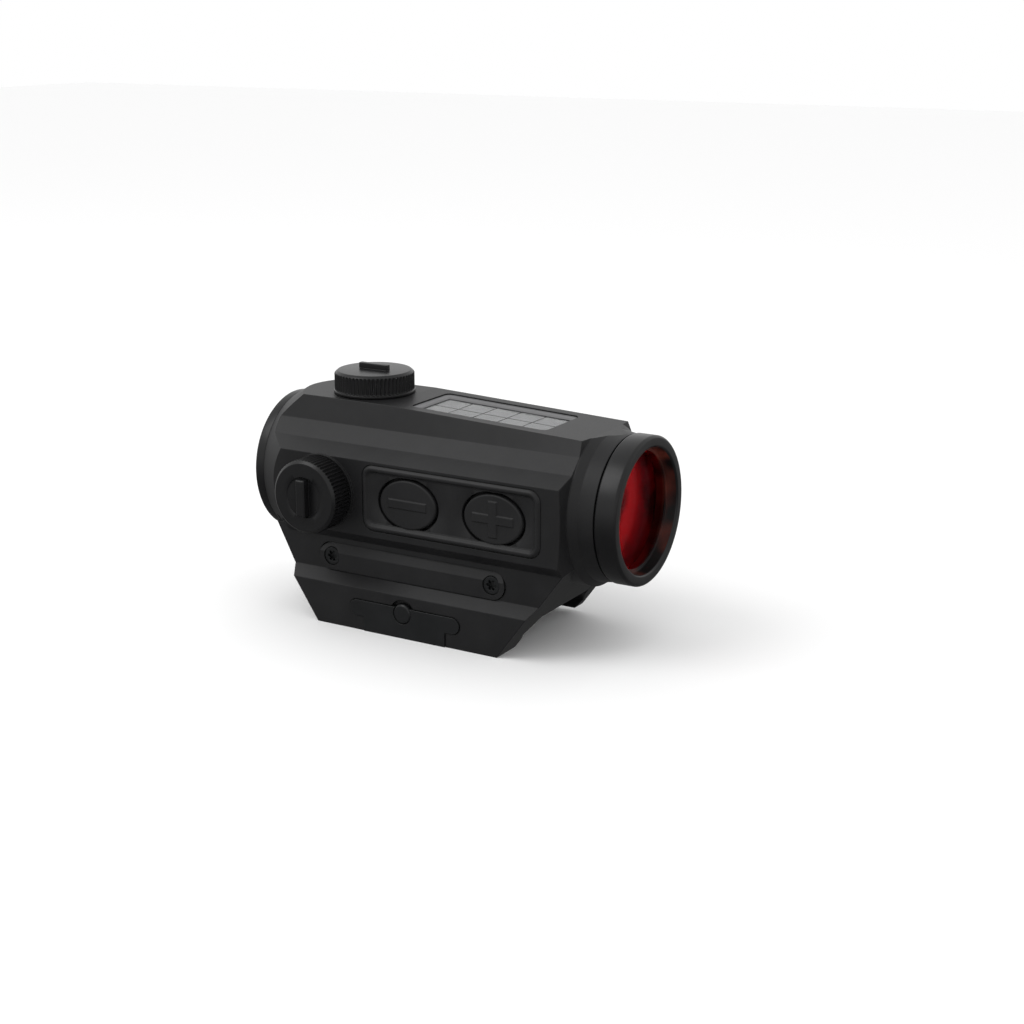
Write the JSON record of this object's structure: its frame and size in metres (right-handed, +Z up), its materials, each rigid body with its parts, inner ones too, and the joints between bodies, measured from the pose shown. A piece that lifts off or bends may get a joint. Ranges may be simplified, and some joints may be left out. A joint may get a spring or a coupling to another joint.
{
  "type": "red dot finder",
  "caption": "Compact closed-tube red dot finder with solar-assisted top, capped turrets, side brightness buttons, slide-out battery tray and a clamp base for an accessory rail.",
  "frame": {"origin": "middle of the rail seat, the flat face that rests on top of the accessory rail, halfway along the optical tube", "axes": "+X forward along the optical axis (objective end), +Y towards the clamp jaw side, -Y the button and battery side, +Z up"},
  "size_m": [0.0724, 0.0373, 0.0438],
  "materials": {
    "housing": "satin black hard-anodised aluminium, bead blasted",
    "anodised": "satin black anodised aluminium, turned",
    "coated_glass": "optical glass with a deep red dichroic coating",
    "clear_glass": "clear coated optical glass",
    "seal_rubber": "nitrile seal",
    "brass_screw": "turned brass",
    "steel": "stainless steel",
    "board": "glass-fibre circuit board, solder mask",
    "panel_plastic": "black glass-filled nylon, fine texture",
    "button_rubber": "black silicone rubber",
    "cell_steel": "nickel-plated steel can",
    "black_steel": "black oxide steel",
    "solar_silicon": "amorphous silicon cells, grey"
  },
  "bodies": {
    "housing": {"housing": "housing", "front_bezel": "anodised", "objective_lens_front": "coated_glass", "objective_lens_rear": "clear_glass", "front_lens_seal": "seal_rubber", "rear_bezel": "anodised", "rear_window": "clear_glass", "rear_lens_seal": "seal_rubber", "elevation_bush": "anodised", "windage_bush": "anodised", "elevation_spring": "steel", "windage_spring": "steel", "button_panel": "panel_plastic", "switch_board": "board", "minus_dome": "steel", "plus_dome": "steel", "battery_contact": "steel", "solar_board": "board", "solar_cells": "solar_silicon", "solar_window": "clear_glass", "jaw_pin_rear": "steel", "jaw_pin_front": "steel", "t_plate": "black_steel"},
    "elevation_cap_lift": {"elevation_cap_seal": "seal_rubber"},
    "elevation_cap": {"elevation_cap": "anodised"},
    "windage_cap_lift": {"windage_cap_seal": "seal_rubber"},
    "windage_cap": {"windage_cap": "anodised"},
    "elevation_screw": {"elevation_screw": "brass_screw"},
    "windage_screw": {"windage_screw": "brass_screw"},
    "elevation_pusher": {"elevation_pusher": "steel"},
    "windage_pusher": {"windage_pusher": "steel"},
    "cross_slide": {"cross_slide_ring": "anodised"},
    "emitter_carriage": {"emitter_ring": "anodised", "emitter_board": "board"},
    "minus_button": {"minus_button": "button_rubber"},
    "plus_button": {"plus_button": "button_rubber"},
    "battery_tray": {"battery_tray": "panel_plastic", "tray_seal": "seal_rubber", "coin_cell": "cell_steel"},
    "tray_screw_rear": {"tray_screw_rear": "black_steel"},
    "tray_screw_front": {"tray_screw_front": "black_steel"},
    "rail_jaw": {"rail_jaw": "housing"},
    "cross_bolt": {"cross_bolt": "black_steel"}
  },
  "joints": [
    {"name": "elevation_cap_lift", "type": "slide", "parent": "housing", "child": "elevation_cap_lift", "axis": [0, 0, 1], "range_m": [0, 0.0045]},
    {"name": "elevation_cap_turn", "type": "hinge", "parent": "elevation_cap_lift", "child": "elevation_cap", "pos_m": [-0.0185, 0, 0.0354], "axis": [0, 0, 1], "range_deg": [0, 2161]},
    {"name": "windage_cap_lift", "type": "slide", "parent": "housing", "child": "windage_cap_lift", "axis": [0, -1, 0], "range_m": [0, 0.0045]},
    {"name": "windage_cap_turn", "type": "hinge", "parent": "windage_cap_lift", "child": "windage_cap", "pos_m": [-0.01935, -0.0182, 0.0183], "axis": [0, -1, 0], "range_deg": [0, 2161]},
    {"name": "elevation_adjust", "type": "hinge", "parent": "housing", "child": "elevation_screw", "pos_m": [-0.0185, 0, 0.034], "axis": [0, 0, 1], "range_deg": [-315, 315]},
    {"name": "windage_adjust", "type": "hinge", "parent": "housing", "child": "windage_screw", "pos_m": [-0.01935, -0.017, 0.0183], "axis": [0, -1, 0], "range_deg": [-315, 315]},
    {"name": "elevation_push", "type": "slide", "parent": "housing", "child": "elevation_pusher", "axis": [0, 0, 1], "range_m": [-0.000306, 0.000306]},
    {"name": "windage_push", "type": "slide", "parent": "housing", "child": "windage_pusher", "axis": [0, 1, 0], "range_m": [-0.000306, 0.000306]},
    {"name": "cross_slide_travel", "type": "slide", "parent": "housing", "child": "cross_slide", "axis": [0, 1, 0], "range_m": [-0.00031, 0.00031], "deforming": ["windage_spring"]},
    {"name": "emitter_travel", "type": "slide", "parent": "cross_slide", "child": "emitter_carriage", "axis": [0, 0, 1], "range_m": [-0.00031, 0.00031], "deforming": ["elevation_spring"]},
    {"name": "minus_press", "type": "slide", "parent": "housing", "child": "minus_button", "axis": [0, 1, 0], "range_m": [0, 0.0005], "stiffness_N_per_m": 2000, "springref_m": -0.0005},
    {"name": "plus_press", "type": "slide", "parent": "housing", "child": "plus_button", "axis": [0, 1, 0], "range_m": [0, 0.0005], "stiffness_N_per_m": 2000, "springref_m": -0.0005},
    {"name": "battery_tray_slide", "type": "slide", "parent": "housing", "child": "battery_tray", "axis": [0, -1, 0], "range_m": [0, 0.026]},
    {"name": "tray_screw_rear_turn", "type": "hinge", "parent": "battery_tray", "child": "tray_screw_rear", "pos_m": [-0.0186, -0.013, 0.0062], "axis": [0, -1, 0], "range_deg": [0, 1080]},
    {"name": "tray_screw_front_turn", "type": "hinge", "parent": "battery_tray", "child": "tray_screw_front", "pos_m": [0.014, -0.013, 0.0062], "axis": [0, -1, 0], "range_deg": [0, 1080]},
    {"name": "jaw_slide", "type": "slide", "parent": "housing", "child": "rail_jaw", "axis": [0, 1, 0], "range_m": [0, 0.003]},
    {"name": "cross_bolt_turn", "type": "hinge", "parent": "rail_jaw", "child": "cross_bolt", "pos_m": [-0.0026, 0.0136, -0.0012], "axis": [0, 1, 0], "range_deg": [0, 1801]}
  ],
  "couplings": [
    {"joint": "elevation_cap_turn", "follows": "elevation_cap_lift", "rad_per_m": 8377.6},
    {"joint": "windage_cap_turn", "follows": "windage_cap_lift", "rad_per_m": 8377.6},
    {"joint": "elevation_adjust", "follows": "elevation_push", "rad_per_m": 17952},
    {"joint": "emitter_travel", "follows": "elevation_push", "ratio": 1},
    {"joint": "windage_adjust", "follows": "windage_push", "rad_per_m": 17952},
    {"joint": "cross_slide_travel", "follows": "windage_push", "ratio": 1},
    {"joint": "cross_bolt_turn", "follows": "jaw_slide", "rad_per_m": 10472}
  ]
}
